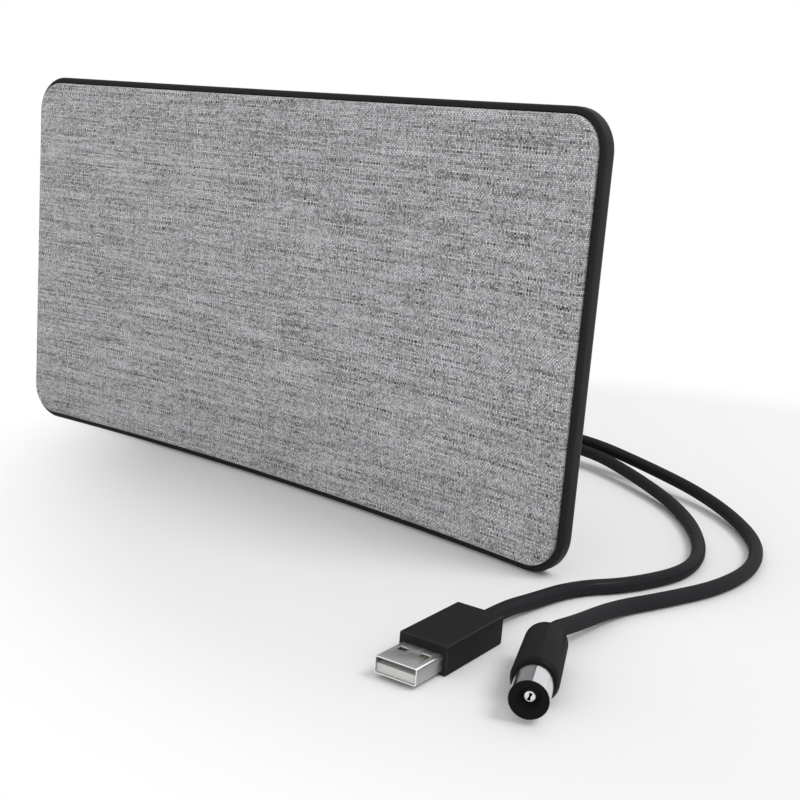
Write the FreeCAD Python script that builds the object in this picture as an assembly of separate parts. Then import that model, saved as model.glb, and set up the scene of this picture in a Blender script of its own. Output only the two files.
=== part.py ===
import FreeCAD, Part
import math
import os

# An indoor television antenna: a curved panel with a cloth front, an amplifier foot behind it and two leads.
# Sizes are millimetres. +Z is up, the cloth faces -Y, and the origin is on the floor under the middle.
# A depth is measured backwards from the face of the cloth, square to the curve.

Vec = FreeCAD.Vector

# Cloth front and the plate that carries it
cloth_width = 259.8
cloth_height = 135.0
cloth_corner = 10.6
cloth_thickness = 0.7
cloth_edge_round = 1.2
cloth_fold = 7.0
curve_radius = 1051.0
carrier_thickness = 2.0

# Housing
rim_border = 2.35
rim_setback = 2.1
rim_round = 1.1
shadow_gap = 0.35
ledge_width = 2.5
panel_depth = 9.0
back_round = 3.0
housing_wall = 1.8
rib_thickness = 1.2
rib_pitch = 32.0
rib_count = 6

# Foot on the back of the housing
foot_width = 118.0
foot_height = 50.0
foot_back_height = 33.0
foot_depth = 22.0
foot_wall = 2.0
foot_round = 6.0

# Screws that hold the housing to the carrier plate
screw_inset_x = 17.0
screw_inset_z = 15.0
screw_shank = 2.2
screw_head = 4.4
screw_head_height = 1.6
screw_recess_width = 0.7
screw_recess_share = 0.6
screw_recess_depth = 0.8
boss_wall = 1.5
well_depth = 2.4
web_thickness = 1.4
thread_clearance = 0.05
head_clearance = 0.6

# Antenna film and its printed dipole
film_width = 200.0
film_height = 96.0
film_corner = 6.0
film_thickness = 0.3
film_clearance = 0.5
film_depth = 5.2
copper_thickness = 0.2
arm_inner = 5.0
arm_outer = 94.0
arm_root_half = 9.0
arm_tip_half = 40.0
arm_track = 9.0
feed_track = 4.0

# Amplifier board
board_width = 84.0
board_height = 30.0
board_thickness = 1.2
board_corner = 1.0
board_gap = 4.6
board_bottom = 8.0
board_screw_inset = 6.0
standoff_wall = 1.6
can_width = 52.0
can_height = 13.0
can_depth = 4.5
can_wall = 0.3
can_top_margin = 2.0
chip_size = 5.0
chip_height = 1.2
coil_diameter = 4.0
coil_length = 7.0
coil_wall = 0.7
coil_pitch = 9.0
coil_count = 3
pin_diameter = 1.6

# Leads and their strain reliefs
lead_diameter = 4.6
lead_spacing = 16.0
lead_height = 16.0
lead_bore_clearance = 0.05
lead_straight = 13.0
lead_exit_run = 6.0
lead_bend_share = 0.45
relief_length = 13.0
relief_root = 8.4
relief_tip = 6.0
relief_flange = 10.4
relief_flange_thickness = 1.5
relief_neck = 7.4
relief_groove = 0.7
relief_groove_count = 4
solder_gap = 0.3

# USB plug
usb_grip_width = 14.2
usb_grip_length = 28.0
usb_grip_height = 8.0
usb_grip_round = 0.5
usb_shell_width = 12.0
usb_shell_height = 4.5
usb_shell_length = 11.75
usb_shell_wall = 0.3
usb_shell_corner = 0.6
usb_shell_bottom = 1.1
usb_window_width = 2.5
usb_window_length = 2.0
usb_window_spacing = 6.2
usb_window_setback = 3.9
usb_tongue_height = 2.2
usb_tongue_setback = 0.6
usb_contact_width = 1.2
usb_contact_pitch = 2.25
usb_contact_length = 8.0
usb_contact_thickness = 0.2
usb_contact_count = 4
usb_beside_panel = 10.75
usb_front_y = -93.6
usb_turn = 5.5

# Coaxial plug
coax_sleeve_diameter = 9.5
coax_sleeve_length = 10.4
coax_sleeve_wall = 0.5
coax_grip_diameter = 11.9
coax_grip_tail_diameter = 11.2
coax_grip_length = 26.2
coax_grip_round = 1.8
coax_nose_length = 1.5
coax_nose_step = 0.6
coax_face_bevel = 0.4
coax_face_thickness = 3.0
coax_dish_diameter = 6.8
coax_dish_depth = 2.4
coax_contact_diameter = 2.7
coax_contact_bevel = 0.2
coax_contact_proud = 0.2
coax_slot_length = 1.7
coax_slot_waist = 0.35
coax_slot_end = 0.8
coax_slot_depth = 5.0
coax_slot_tilt = 35.0
coax_beside_panel = 45.5
coax_front_y = -99.2
coax_turn = 26.3

# Places the leads pass: x from the right edge of the panel, y, and height of the jacket's underside
usb_passes = [
    (-123.25, 66.0, 12.7),
    (-114.25, 94.0, 10.2),
    (-92.25, 113.0, 8.2),
    (-64.25, 111.5, 6.5),
    (-35.65, 96.8, 4.7),
    (-7.05, 80.4, 1.3),
    (14.15, 53.2, 0.0),
    (24.35, 25.7, 0.0),
    (18.55, -2.3, 0.0),
    (8.15, -18.7, 0.0),
    (6.15, -39.2, 0.3),
]
coax_passes = [
    (-139.25, 66.0, 12.9),
    (-131.25, 97.0, 10.7),
    (-108.25, 119.0, 8.7),
    (-74.25, 125.0, 7.7),
    (-39.25, 110.0, 6.2),
    (-5.25, 97.2, 3.7),
    (22.05, 77.0, 0.1),
    (35.85, 48.8, 0.0),
    (37.55, 19.4, 0.0),
    (30.35, -7.0, 0.0),
    (24.55, -24.4, 0.2),
    (23.65, -40.8, 1.9),
]

# Values that follow from the sizes above
outer_width = cloth_width + 2 * rim_border
outer_height = cloth_height + 2 * rim_border
outer_corner = cloth_corner + rim_border
carrier_depth = cloth_thickness + carrier_thickness
ledge_depth = carrier_depth + cloth_thickness
inner_back = panel_depth - housing_wall
copper_back = film_depth + film_thickness + copper_thickness
boss_depth = panel_depth - well_depth - web_thickness
boss_diameter = screw_head + head_clearance + 2 * boss_wall
board_front = copper_back + board_gap
board_back = board_front + board_thickness
lead_radius = lead_diameter / 2
edge_reach = math.sqrt((curve_radius + cloth_edge_round) ** 2 - (cloth_width / 2 - cloth_edge_round) ** 2)
axis_y = -(edge_reach - cloth_edge_round + curve_radius + foot_depth) / 2
middle_z = outer_height / 2
foot_back_y = axis_y + curve_radius + foot_depth
usb_front = Vec(outer_width / 2 + usb_beside_panel, usb_front_y, 0)
coax_front = Vec(outer_width / 2 + coax_beside_panel, coax_front_y, 0)

# Cutting blocks run past the part by far or by overcut; places nearer than touch are the same
far = 4 * foot_depth
overcut = 1.0
touch = 0.001


# Y of the layer at a given depth, on the line x
def layer_y(depth, x=0.0):
    return axis_y + math.sqrt((curve_radius + depth) ** 2 - x ** 2)


def runs_along_y(edge):
    return edge.BoundBox.YLength > edge.Length - touch


# Block along Y with rounded corners, centred on x = 0
def slab(width, height, corner, bottom, front, back):
    block = Part.makeBox(width, back - front, height, Vec(-width / 2, front, bottom))
    return block.makeFillet(corner, [edge for edge in block.Edges if runs_along_y(edge)])


# Everything between two depths of the curve
def curved_layer(depth_front, depth_back):
    base = Vec(0, axis_y, -far)
    height = outer_height + 2 * far
    outside = Part.makeCylinder(curve_radius + depth_back, height, base)
    inside = Part.makeCylinder(curve_radius + depth_front, height, base)
    return outside.cut(inside)


# Part of a block that lies between two depths
def bend(block, depth_front, depth_back):
    return block.common(curved_layer(depth_front, depth_back))


# Curved plate with rounded corners
def curved_plate(width, height, corner, depth_front, depth_back):
    bottom = middle_z - height / 2
    front = layer_y(depth_front, width / 2) - far
    block = slab(width, height, corner, bottom, front, layer_y(depth_back) + far)
    return bend(block, depth_front, depth_back)


# Edges of a shape that lie at one depth
def edges_at(shape, depth):
    found = []
    for edge in shape.Edges:
        reach = [math.hypot(point.x, point.y - axis_y) - curve_radius - depth for point in edge.discretize(5)]
        if max(abs(value) for value in reach) < touch:
            found.append(edge)
    return found


# Cylinder along Y between two places
def rod_y(diameter, x, z, start_y, end_y):
    return Part.makeCylinder(diameter / 2, end_y - start_y, Vec(x, start_y, z), Vec(0, 1, 0))


# Solid of revolution about the Y axis, from (radius, y) corners
def turned(corners):
    points = [Vec(radius, y, 0) for radius, y in corners]
    face = Part.Face(Part.makePolygon(points + points[:1]))
    return face.revolve(Vec(0, 0, 0), Vec(0, 1, 0), 360)


# Prism along Y from (x, z) corners
def prism_y(corners, front, back):
    points = [Vec(x, front, z) for x, z in corners]
    face = Part.Face(Part.makePolygon(points + points[:1]))
    return face.extrude(Vec(0, back - front, 0))


# Places of the housing screws: four corners of the panel and the middle of its top edge
def screw_places():
    side = cloth_width / 2 - screw_inset_x
    low = rim_border + screw_inset_z
    high = outer_height - rim_border - screw_inset_z
    return [(-side, low), (side, low), (-side, high), (0.0, high), (side, high)]


# Pan-head screw along Y, its head at the origin and its shank towards -Y, with a cross recess
def pan_screw(shank, head, head_height, shank_length):
    round_edge = head_height / 2
    screw = Part.makeCylinder(head / 2, head_height, Vec(0, 0, 0), Vec(0, 1, 0))
    crown = [edge for edge in screw.Edges if edge.Closed and edge.CenterOfMass.y > round_edge]
    screw = screw.makeFillet(round_edge, crown)
    screw = screw.fuse(Part.makeCylinder(shank / 2, shank_length, Vec(0, -shank_length, 0), Vec(0, 1, 0)))
    recess_length = head * screw_recess_share
    for along_x, along_z in ((recess_length, screw_recess_width), (screw_recess_width, recess_length)):
        corner = Vec(-along_x / 2, head_height - screw_recess_depth, -along_z / 2)
        screw = screw.cut(Part.makeBox(along_x, head_height, along_z, corner))
    return screw


# Foot outline in the YZ plane, made narrower by a wall and started at a depth
def foot_block(wall, start_depth):
    front = layer_y(start_depth)
    back = foot_back_y - wall
    slope_y = layer_y(panel_depth)
    side = foot_width / 2 - wall
    corners = [
        Vec(-side, front, wall),
        Vec(-side, back, wall),
        Vec(-side, back, foot_back_height - wall),
        Vec(-side, slope_y, foot_height - wall),
        Vec(-side, front, foot_height - wall),
    ]
    face = Part.Face(Part.makePolygon(corners + corners[:1]))
    block = face.extrude(Vec(2 * side, 0, 0))
    rounded = []
    for edge in block.Edges:
        middle = edge.CenterOfMass
        if middle.y > slope_y + touch and middle.z > wall + touch:
            rounded.append(edge)
    return block.makeFillet(max(foot_round - wall, housing_wall), rounded)


# Moulded housing: rim, ledge for the carrier plate, ribs, screw wells and the foot
def make_housing():
    body = curved_plate(outer_width, outer_height, outer_corner, rim_setback, panel_depth)
    body = body.makeFillet(back_round, edges_at(body, panel_depth))
    body = body.makeFillet(rim_round, edges_at(body, rim_setback))
    body = body.fuse(foot_block(0.0, rim_setback + rim_round + housing_wall))
    pocket_grow = 2 * shadow_gap
    pocket = curved_plate(cloth_width + pocket_grow, cloth_height + pocket_grow,
                          cloth_corner + shadow_gap, 0.0, ledge_depth)
    inset = 2 * ledge_width
    cavity = curved_plate(cloth_width - inset, cloth_height - inset,
                          cloth_corner - ledge_width, carrier_depth, inner_back)
    body = body.cut(pocket)
    body = body.cut(cavity)
    body = body.cut(foot_block(foot_wall, ledge_depth + housing_wall))
    for rib in housing_ribs():
        body = body.fuse(rib)
    for x, z in screw_places():
        body = body.fuse(screw_boss(x, z))
        body = body.cut(screw_well(x, z))
    for x, z in board_screw_places():
        body = body.fuse(board_standoff(x, z))
    for x in (-lead_spacing / 2, lead_spacing / 2):
        hole = rod_y(relief_neck, x, lead_height, foot_back_y - 2 * foot_wall, foot_back_y + foot_wall)
        body = body.cut(hole)
    return body.removeSplitter()


# Upright ribs that the antenna film lies on, clear of the foot's opening
def housing_ribs():
    ribs = []
    low = rim_border + ledge_width
    high = outer_height - low
    for number in range(rib_count):
        x = (number - (rib_count - 1) / 2) * rib_pitch
        start = low
        if abs(x) < foot_width / 2:
            start = foot_height - foot_wall
        front = layer_y(copper_back, abs(x) + rib_thickness) - housing_wall
        corner = Vec(x - rib_thickness / 2, front, start)
        block = Part.makeBox(rib_thickness, far, high - start, corner)
        ribs.append(bend(block, copper_back, inner_back + housing_wall / 2))
    return ribs


def screw_boss(x, z):
    front = layer_y(boss_depth, x)
    back = layer_y(inner_back + housing_wall / 2, abs(x) + screw_head / 2)
    return rod_y(boss_diameter, x, z, front, back)


def screw_well(x, z):
    floor = layer_y(boss_depth, x) + web_thickness
    well = rod_y(screw_head + head_clearance, x, z, floor, floor + far)
    hole = rod_y(screw_shank + 2 * thread_clearance, x, z, floor - far / 2, floor)
    return well.fuse(hole)


# Screw posts of the amplifier board, at both ends of its middle line
def board_screw_places():
    x = board_width / 2 - board_screw_inset
    z = board_bottom + board_height / 2
    return [(-x, z), (x, z)]


def board_standoff(x, z):
    front = layer_y(0) + board_back
    post = rod_y(screw_shank + 2 * standoff_wall, x, z, front, foot_back_y - foot_wall / 2)
    pilot = rod_y(screw_shank + 2 * thread_clearance, x, z, front - overcut, foot_back_y - foot_wall)
    return post.cut(pilot)


# Plate under the cloth, with a post behind it for each housing screw
def make_carrier():
    shrink = 2 * cloth_thickness
    plate = curved_plate(cloth_width - shrink, cloth_height - shrink,
                         cloth_corner - cloth_thickness, cloth_thickness, carrier_depth)
    plate = plate.makeFillet(cloth_edge_round - cloth_thickness, edges_at(plate, cloth_thickness))
    for x, z in screw_places():
        root = layer_y(cloth_thickness, x) + carrier_thickness / 2
        tip = layer_y(boss_depth, x)
        post = rod_y(screw_shank + 2 * boss_wall, x, z, root, tip)
        pilot = rod_y(screw_shank + 2 * thread_clearance, x, z, root, tip)
        plate = plate.fuse(post).cut(pilot)
    return plate.removeSplitter()


# Cloth over the plate, down its sides and folded behind its edge
def make_cloth():
    body = curved_plate(cloth_width, cloth_height, cloth_corner, 0.0, ledge_depth)
    body = body.makeFillet(cloth_edge_round, edges_at(body, 0.0))
    shrink = 2 * cloth_thickness
    plate = curved_plate(cloth_width - shrink, cloth_height - shrink,
                         cloth_corner - cloth_thickness, cloth_thickness, carrier_depth)
    plate = plate.makeFillet(cloth_edge_round - cloth_thickness, edges_at(plate, cloth_thickness))
    fold = 2 * cloth_fold
    inside_plate = cloth_thickness + carrier_thickness / 2
    opening = curved_plate(cloth_width - fold, cloth_height - fold,
                           cloth_corner - cloth_thickness, inside_plate, panel_depth)
    return body.cut(plate).cut(opening)


# Film notched round any screw boss that it reaches
def make_film():
    film = curved_plate(film_width, film_height, film_corner, film_depth, film_depth + film_thickness)
    for x, z in screw_places():
        film = film.cut(rod_y(boss_diameter + 2 * film_clearance, x, z, layer_y(0, x), layer_y(0, x) + far))
    return film


# One open bow-tie arm with its feed track; side is -1 on the left and 1 on the right
def dipole_arm(side):
    front = layer_y(0, arm_outer) - far
    back = layer_y(panel_depth) + far
    root_x = side * arm_inner
    tip_x = side * arm_outer
    outline = [
        (root_x, middle_z - arm_root_half),
        (tip_x, middle_z - arm_tip_half),
        (tip_x, middle_z + arm_tip_half),
        (root_x, middle_z + arm_root_half),
    ]
    hole_root = side * (arm_inner + arm_track)
    hole_tip = side * (arm_outer - arm_track)
    slope = (arm_tip_half - arm_root_half) / (arm_outer - arm_inner)
    edge = arm_track * math.sqrt(1 + slope ** 2)
    root_half = max(arm_root_half + slope * arm_track - edge, arm_root_half / 4)
    tip_half = arm_tip_half - slope * arm_track - edge
    hole = [
        (hole_root, middle_z - root_half),
        (hole_tip, middle_z - tip_half),
        (hole_tip, middle_z + tip_half),
        (hole_root, middle_z + root_half),
    ]
    feed_bottom = board_bottom + board_height - 2 * pin_diameter
    feed = [
        (root_x, feed_bottom),
        (root_x + side * feed_track, feed_bottom),
        (root_x + side * feed_track, middle_z),
        (root_x, middle_z),
    ]
    arm = prism_y(outline, front, back).cut(prism_y(hole, front, back))
    arm = arm.fuse(prism_y(feed, front, back)).removeSplitter()
    return bend(arm, film_depth + film_thickness, copper_back)


def make_dipole():
    return Part.makeCompound([dipole_arm(-1), dipole_arm(1)])


# Pins that carry the signal from the feed tracks to the board
def make_feed_pins():
    pins = []
    z = board_bottom + board_height - pin_diameter
    for side in (-1, 1):
        x = side * (arm_inner + feed_track / 2)
        pins.append(rod_y(pin_diameter, x, z, layer_y(copper_back, 0), layer_y(0) + board_front))
    return Part.makeCompound(pins)


def make_board():
    front = layer_y(0) + board_front
    board = slab(board_width, board_height, board_corner, board_bottom, front, front + board_thickness)
    for x, z in board_screw_places():
        hole = rod_y(screw_shank + 2 * thread_clearance, x, z, front - overcut, front + 2 * board_thickness)
        board = board.cut(hole)
    return board


def make_shield_can():
    front = layer_y(0) + board_back
    bottom = board_bottom + board_height - can_top_margin - can_height
    can = slab(can_width, can_height, board_corner, bottom, front, front + can_depth)
    inner = slab(can_width - 2 * can_wall, can_height - 2 * can_wall, board_corner - can_wall,
                 bottom + can_wall, front - overcut, front + can_depth - can_wall)
    return can.cut(inner)


# Filter coils in a row on the front of the board, below the feed pins
def make_coils():
    coils = []
    front = layer_y(0) + board_front - coil_diameter
    z = board_bottom + coil_diameter
    for number in range(coil_count):
        x = (number - (coil_count - 1) / 2) * coil_pitch - coil_length / 2
        start = Vec(x, front + coil_diameter / 2, z)
        coil = Part.makeCylinder(coil_diameter / 2, coil_length, start, Vec(1, 0, 0))
        core = Part.makeCylinder(coil_diameter / 2 - coil_wall, coil_length, start, Vec(1, 0, 0))
        coils.append(coil.cut(core))
    return Part.makeCompound(coils)


def make_chip():
    front = layer_y(0) + board_front - chip_height
    return slab(chip_size, chip_size, board_corner / 4, board_bottom + board_height / 2,
                front, front + chip_height)


def make_housing_screws():
    screws = []
    length = web_thickness + boss_depth - carrier_depth
    for x, z in screw_places():
        screw = pan_screw(screw_shank, screw_head, screw_head_height, length)
        screw.translate(Vec(x, layer_y(boss_depth, x) + web_thickness, z))
        screws.append(screw)
    return Part.makeCompound(screws)


def make_board_screws():
    screws = []
    length = board_thickness + screw_head
    for x, z in board_screw_places():
        screw = pan_screw(screw_shank, screw_head, screw_head_height, length)
        screw.rotate(Vec(0, 0, 0), Vec(0, 0, 1), 180)
        screw.translate(Vec(x, layer_y(0) + board_front, z))
        screws.append(screw)
    return Part.makeCompound(screws)


# Rubber sleeve snapped into the foot's back wall: flange inside, neck, flange outside and a grooved tail
def make_relief(x):
    bore = lead_radius + lead_bore_clearance
    flange = relief_flange / 2
    neck = relief_neck / 2
    root = relief_root / 2
    tip = relief_tip / 2
    inside = -foot_wall - relief_flange_thickness
    outside = relief_flange_thickness
    sleeve = turned([
        (bore, inside), (flange, inside), (flange, -foot_wall), (neck, -foot_wall), (neck, 0.0),
        (flange, 0.0), (flange, outside), (root, outside), (tip, relief_length), (bore, relief_length),
    ])
    pitch = (relief_length - outside) / (relief_groove_count + 1)
    for number in range(relief_groove_count):
        start = outside + (number + 1) * pitch - relief_groove / 2
        share = (start - outside) / (relief_length - outside)
        floor = (root + (tip - root) * share + bore) / 2
        sleeve = sleeve.cut(turned([
            (floor, start), (flange, start), (flange, start + relief_groove), (floor, start + relief_groove),
        ]))
    sleeve.translate(Vec(x, foot_back_y, lead_height))
    return sleeve


# Route of a lead, from the board out through the foot's back wall and round to its plug
def lead_route(x, passes, lead_in, tail):
    board_end = Vec(x, layer_y(0) + board_back + solder_gap, lead_height)
    wall_exit = Vec(x, foot_back_y + relief_length + lead_exit_run, lead_height)
    bends = [Vec(outer_width / 2 + across, y, lead_radius + lift) for across, y, lift in passes]
    return [board_end, wall_exit] + bends + [lead_in, tail]


def usb_route():
    tail = place_usb(Vec(0, usb_grip_length, usb_grip_height / 2))
    lead_in = place_usb(Vec(0, usb_grip_length + lead_straight, usb_grip_height / 2))
    return lead_route(lead_spacing / 2, usb_passes, lead_in, tail)


def coax_route():
    grip_end = coax_sleeve_length + coax_grip_length
    tail = place_coax(Vec(0, grip_end, coax_grip_diameter / 2))
    lead_in = place_coax(Vec(0, grip_end + lead_straight, coax_grip_diameter / 2))
    return lead_route(-lead_spacing / 2, coax_passes, lead_in, tail)


# Straight runs joined by tangent arcs, each as large as its two runs allow
def lead_path(points):
    edges = []
    radii = []
    start = points[0]
    for before, corner, after in zip(points, points[1:], points[2:]):
        back = before - corner
        ahead = after - corner
        reach = lead_bend_share * min(back.Length, ahead.Length)
        back.normalize()
        ahead.normalize()
        half_turn = (math.pi - back.getAngle(ahead)) / 2
        radius = reach / math.tan(half_turn)
        middle = back + ahead
        middle.normalize()
        first = corner + back * reach
        last = corner + ahead * reach
        edges.append(Part.LineSegment(start, first).toShape())
        top = corner + middle * (radius / math.cos(half_turn) - radius)
        edges.append(Part.Arc(first, top, last).toShape())
        radii.append(radius)
        start = last
    edges.append(Part.LineSegment(start, points[-1]).toShape())
    return Part.Wire(edges), radii


def make_lead(name, points):
    path, radii = lead_path(points)
    section = Part.Wire(Part.Circle(points[0], points[1] - points[0], lead_radius).toShape())
    tube = path.makePipeShell([section], True, False)
    share = tube.Volume / (math.pi * lead_radius ** 2 * path.Length)
    print(name, "length", round(path.Length, 1), "volume share", round(share, 4))
    print(name, "radii", [round(radius, 1) for radius in radii])
    return tube


# USB plug: its own frame has the front of the grip at y = 0, the floor at z = 0 and the mouth towards -Y
def usb_placement():
    return FreeCAD.Placement(usb_front, FreeCAD.Rotation(Vec(0, 0, 1), usb_turn))


def place_usb(point):
    return usb_placement().multVec(point)


def to_usb(shape):
    shape.Placement = usb_placement()
    return shape


def make_usb_grip():
    grip = Part.makeBox(usb_grip_width, usb_grip_length, usb_grip_height, Vec(-usb_grip_width / 2, 0, 0))
    return grip.makeFillet(usb_grip_round, grip.Edges)


# Folded steel shell with two latch windows above and two below
def make_usb_shell():
    bottom = usb_shell_bottom
    wall = usb_shell_wall
    shell = slab(usb_shell_width, usb_shell_height, usb_shell_corner, bottom, -usb_shell_length, 0.0)
    bore = slab(usb_shell_width - 2 * wall, usb_shell_height - 2 * wall, usb_shell_corner - wall,
                bottom + wall, -usb_shell_length - overcut, overcut)
    shell = shell.cut(bore)
    for side in (-1, 1):
        x = side * usb_window_spacing / 2 - usb_window_width / 2
        corner = Vec(x, -usb_window_setback - usb_window_length / 2, bottom - wall)
        through = usb_shell_height + 2 * wall
        shell = shell.cut(Part.makeBox(usb_window_width, usb_window_length, through, corner))
    return shell


def usb_tongue_width():
    return usb_shell_width - 2 * usb_shell_wall


def make_usb_tongue():
    bottom = usb_shell_bottom + usb_shell_wall
    length = usb_shell_length - usb_tongue_setback
    corner = Vec(-usb_tongue_width() / 2, -length, bottom)
    tongue = Part.makeBox(usb_tongue_width(), length, usb_tongue_height, corner)
    lower = [edge for edge in tongue.Edges if runs_along_y(edge) and edge.CenterOfMass.z < bottom + touch]
    tongue = tongue.makeFillet(usb_shell_corner - usb_shell_wall, lower)
    return tongue.cut(usb_contact_set())


# Gold strips let into the top of the tongue
def usb_contact_set():
    top = usb_shell_bottom + usb_shell_wall + usb_tongue_height
    strips = []
    for number in range(usb_contact_count):
        x = (number - (usb_contact_count - 1) / 2) * usb_contact_pitch
        corner = Vec(x - usb_contact_width / 2, -usb_contact_length, top - usb_contact_thickness)
        strips.append(Part.makeBox(usb_contact_width, usb_contact_length, usb_contact_thickness, corner))
    return Part.makeCompound(strips)


# Coaxial plug: its own frame has the face at y = 0, the floor at z = 0 and the grip towards +Y
def coax_placement():
    return FreeCAD.Placement(coax_front, FreeCAD.Rotation(Vec(0, 0, 1), coax_turn))


def place_coax(point):
    return coax_placement().multVec(point)


def to_coax(shape):
    shape.translate(Vec(0, 0, coax_grip_diameter / 2))
    shape.Placement = coax_placement().multiply(shape.Placement)
    return shape


# Grip with a coned nose, a slight taper and a rounded tail
def make_coax_grip():
    front = coax_sleeve_length
    back = front + coax_grip_length
    outer = coax_grip_diameter / 2
    tail = coax_grip_tail_diameter / 2
    grip = turned([
        (0.0, front), (outer - coax_nose_step, front), (outer, front + coax_nose_length),
        (tail, back), (0.0, back),
    ])
    rim = [edge for edge in grip.Edges if edge.Closed and edge.CenterOfMass.y > back - touch]
    return grip.makeFillet(coax_grip_round, rim)


def make_coax_sleeve():
    outer = coax_sleeve_diameter / 2
    inner = outer - coax_sleeve_wall
    front = coax_face_bevel
    return turned([(inner, front), (outer, front), (outer, coax_sleeve_length), (inner, coax_sleeve_length)])


# Black insulator: a dished face over the end of the sleeve and a plug inside it
def make_coax_insulator():
    outer = coax_sleeve_diameter / 2
    inner = outer - coax_sleeve_wall
    hole = coax_contact_diameter / 2
    return turned([
        (hole, coax_dish_depth), (coax_dish_diameter / 2, 0.0), (outer - coax_face_bevel, 0.0),
        (outer, coax_face_bevel), (inner, coax_face_bevel), (inner, coax_face_thickness),
        (hole, coax_face_thickness),
    ])


# Centre contact, its end split by a slot that is narrow in the middle
def make_coax_contact():
    outer = coax_contact_diameter / 2
    tip = coax_dish_depth - coax_contact_proud
    rod = turned([
        (0.0, tip), (outer - coax_contact_bevel, tip), (outer, tip + coax_contact_bevel),
        (outer, coax_sleeve_length), (0.0, coax_sleeve_length),
    ])
    half = coax_slot_length / 2
    end = coax_slot_end / 2
    waist = coax_slot_waist / 2
    outline = [(-end, -half), (end, -half), (waist, 0.0), (end, half), (-end, half), (-waist, 0.0)]
    slot = prism_y(outline, tip - overcut, tip + coax_slot_depth)
    slot.rotate(Vec(0, 0, 0), Vec(0, 1, 0), coax_slot_tilt)
    return rod.cut(slot)


nodes = {
    "rear_housing": make_housing(),
    "fabric_carrier": make_carrier(),
    "front_fabric": make_cloth(),
    "antenna_film": make_film(),
    "dipole_arms": make_dipole(),
    "feed_pins": make_feed_pins(),
    "amplifier_board": make_board(),
    "shield_can": make_shield_can(),
    "filter_coils": make_coils(),
    "amplifier_chip": make_chip(),
    "housing_screws": make_housing_screws(),
    "board_screws": make_board_screws(),
    "usb_strain_relief": make_relief(lead_spacing / 2),
    "coax_strain_relief": make_relief(-lead_spacing / 2),
    "usb_cord": make_lead("usb_cord", usb_route()),
    "coax_cord": make_lead("coax_cord", coax_route()),
    "usb_grip": to_usb(make_usb_grip()),
    "usb_shell": to_usb(make_usb_shell()),
    "usb_tongue": to_usb(make_usb_tongue()),
    "usb_contacts": to_usb(usb_contact_set()),
    "coax_grip": to_coax(make_coax_grip()),
    "coax_sleeve": to_coax(make_coax_sleeve()),
    "coax_insulator": to_coax(make_coax_insulator()),
    "coax_contact": to_coax(make_coax_contact()),
}

os.makedirs("parts", exist_ok=True)
for name, shape in nodes.items():
    shape.exportStep("parts/" + name + ".step")
    box = shape.BoundBox
    print(name, "solids", len(shape.Solids), "valid", shape.isValid(), "volume", round(shape.Volume, 1),
          "box", [round(value, 2) for value in (box.XMin, box.XMax, box.YMin, box.YMax, box.ZMin, box.ZMax)])
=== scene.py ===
import bpy
import math
from mathutils import Matrix, Vector


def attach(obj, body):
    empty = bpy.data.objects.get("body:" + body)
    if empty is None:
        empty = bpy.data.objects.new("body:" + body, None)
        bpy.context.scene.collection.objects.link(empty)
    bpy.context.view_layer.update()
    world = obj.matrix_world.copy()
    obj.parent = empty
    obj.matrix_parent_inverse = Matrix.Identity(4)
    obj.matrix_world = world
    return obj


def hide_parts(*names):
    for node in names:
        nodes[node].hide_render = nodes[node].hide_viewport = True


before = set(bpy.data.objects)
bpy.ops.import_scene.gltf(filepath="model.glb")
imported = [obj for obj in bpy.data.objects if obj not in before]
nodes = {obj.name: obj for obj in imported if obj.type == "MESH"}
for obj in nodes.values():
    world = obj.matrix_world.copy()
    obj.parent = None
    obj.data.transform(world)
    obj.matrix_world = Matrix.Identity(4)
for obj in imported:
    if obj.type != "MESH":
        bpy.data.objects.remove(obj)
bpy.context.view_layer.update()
mm = 0.001
tiny = 1e-6  # metres, for comparing places
print("frame loaded")


# Small steps used for every piece

def letGo():
    bpy.ops.object.select_all(action="DESELECT")


def workOn(piece):
    letGo()
    piece.select_set(True)
    bpy.context.view_layer.objects.active = piece


def pick(piece, what, test):  # selects verts, edges or faces by place or normal, and opens edit mode
    bpy.ops.object.mode_set(mode="OBJECT")
    mesh = piece.data
    for group in (mesh.vertices, mesh.edges, mesh.polygons):
        group.foreach_set("select", [False] * len(group))
    if what == "verts":
        for vert in mesh.vertices:
            vert.select = test(vert.co)
    if what == "edges":
        for edge in mesh.edges:
            edge.select = test(*(mesh.vertices[index].co for index in edge.vertices))
    if what == "faces":
        for face in mesh.polygons:
            face.select = test(face.center, face.normal)
    bpy.context.tool_settings.mesh_select_mode = (what == "verts", what == "edges", what == "faces")
    bpy.ops.object.mode_set(mode="EDIT")


def pickAll(piece, what):
    pick(piece, what, lambda *place: True)


def closeEdit():
    bpy.ops.object.mode_set(mode="OBJECT")


def pushOut(x, y, z):  # extrudes what is selected
    bpy.ops.mesh.extrude_region_move(TRANSFORM_OT_translate={"value": (x, y, z)})


def faceOutwards(piece):
    pickAll(piece, "faces")
    bpy.ops.mesh.normals_make_consistent(inside=False)
    closeEdit()


def useModifier(piece, kind, **settings):
    workOn(piece)
    modifier = piece.modifiers.new(kind.lower(), kind)
    for name, value in settings.items():
        setattr(modifier, name, value)
    bpy.ops.object.modifier_apply(modifier=modifier.name)


def combine(piece, other, operation):  # boolean with a helper shape, which is used up
    useModifier(piece, "BOOLEAN", object=other, operation=operation, solver="EXACT")
    bpy.data.objects.remove(other, do_unlink=True)


def smooth(piece, degrees):  # edges that turn by more stay sharp
    workOn(piece)
    bpy.ops.object.shade_smooth_by_angle(angle=math.radians(degrees))


def moveInto(piece, place):  # puts a piece that was modelled in its own axes where it belongs
    workOn(piece)
    piece.matrix_world = place @ piece.matrix_world
    bpy.ops.object.transform_apply(location=True, rotation=True, scale=True)


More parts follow.
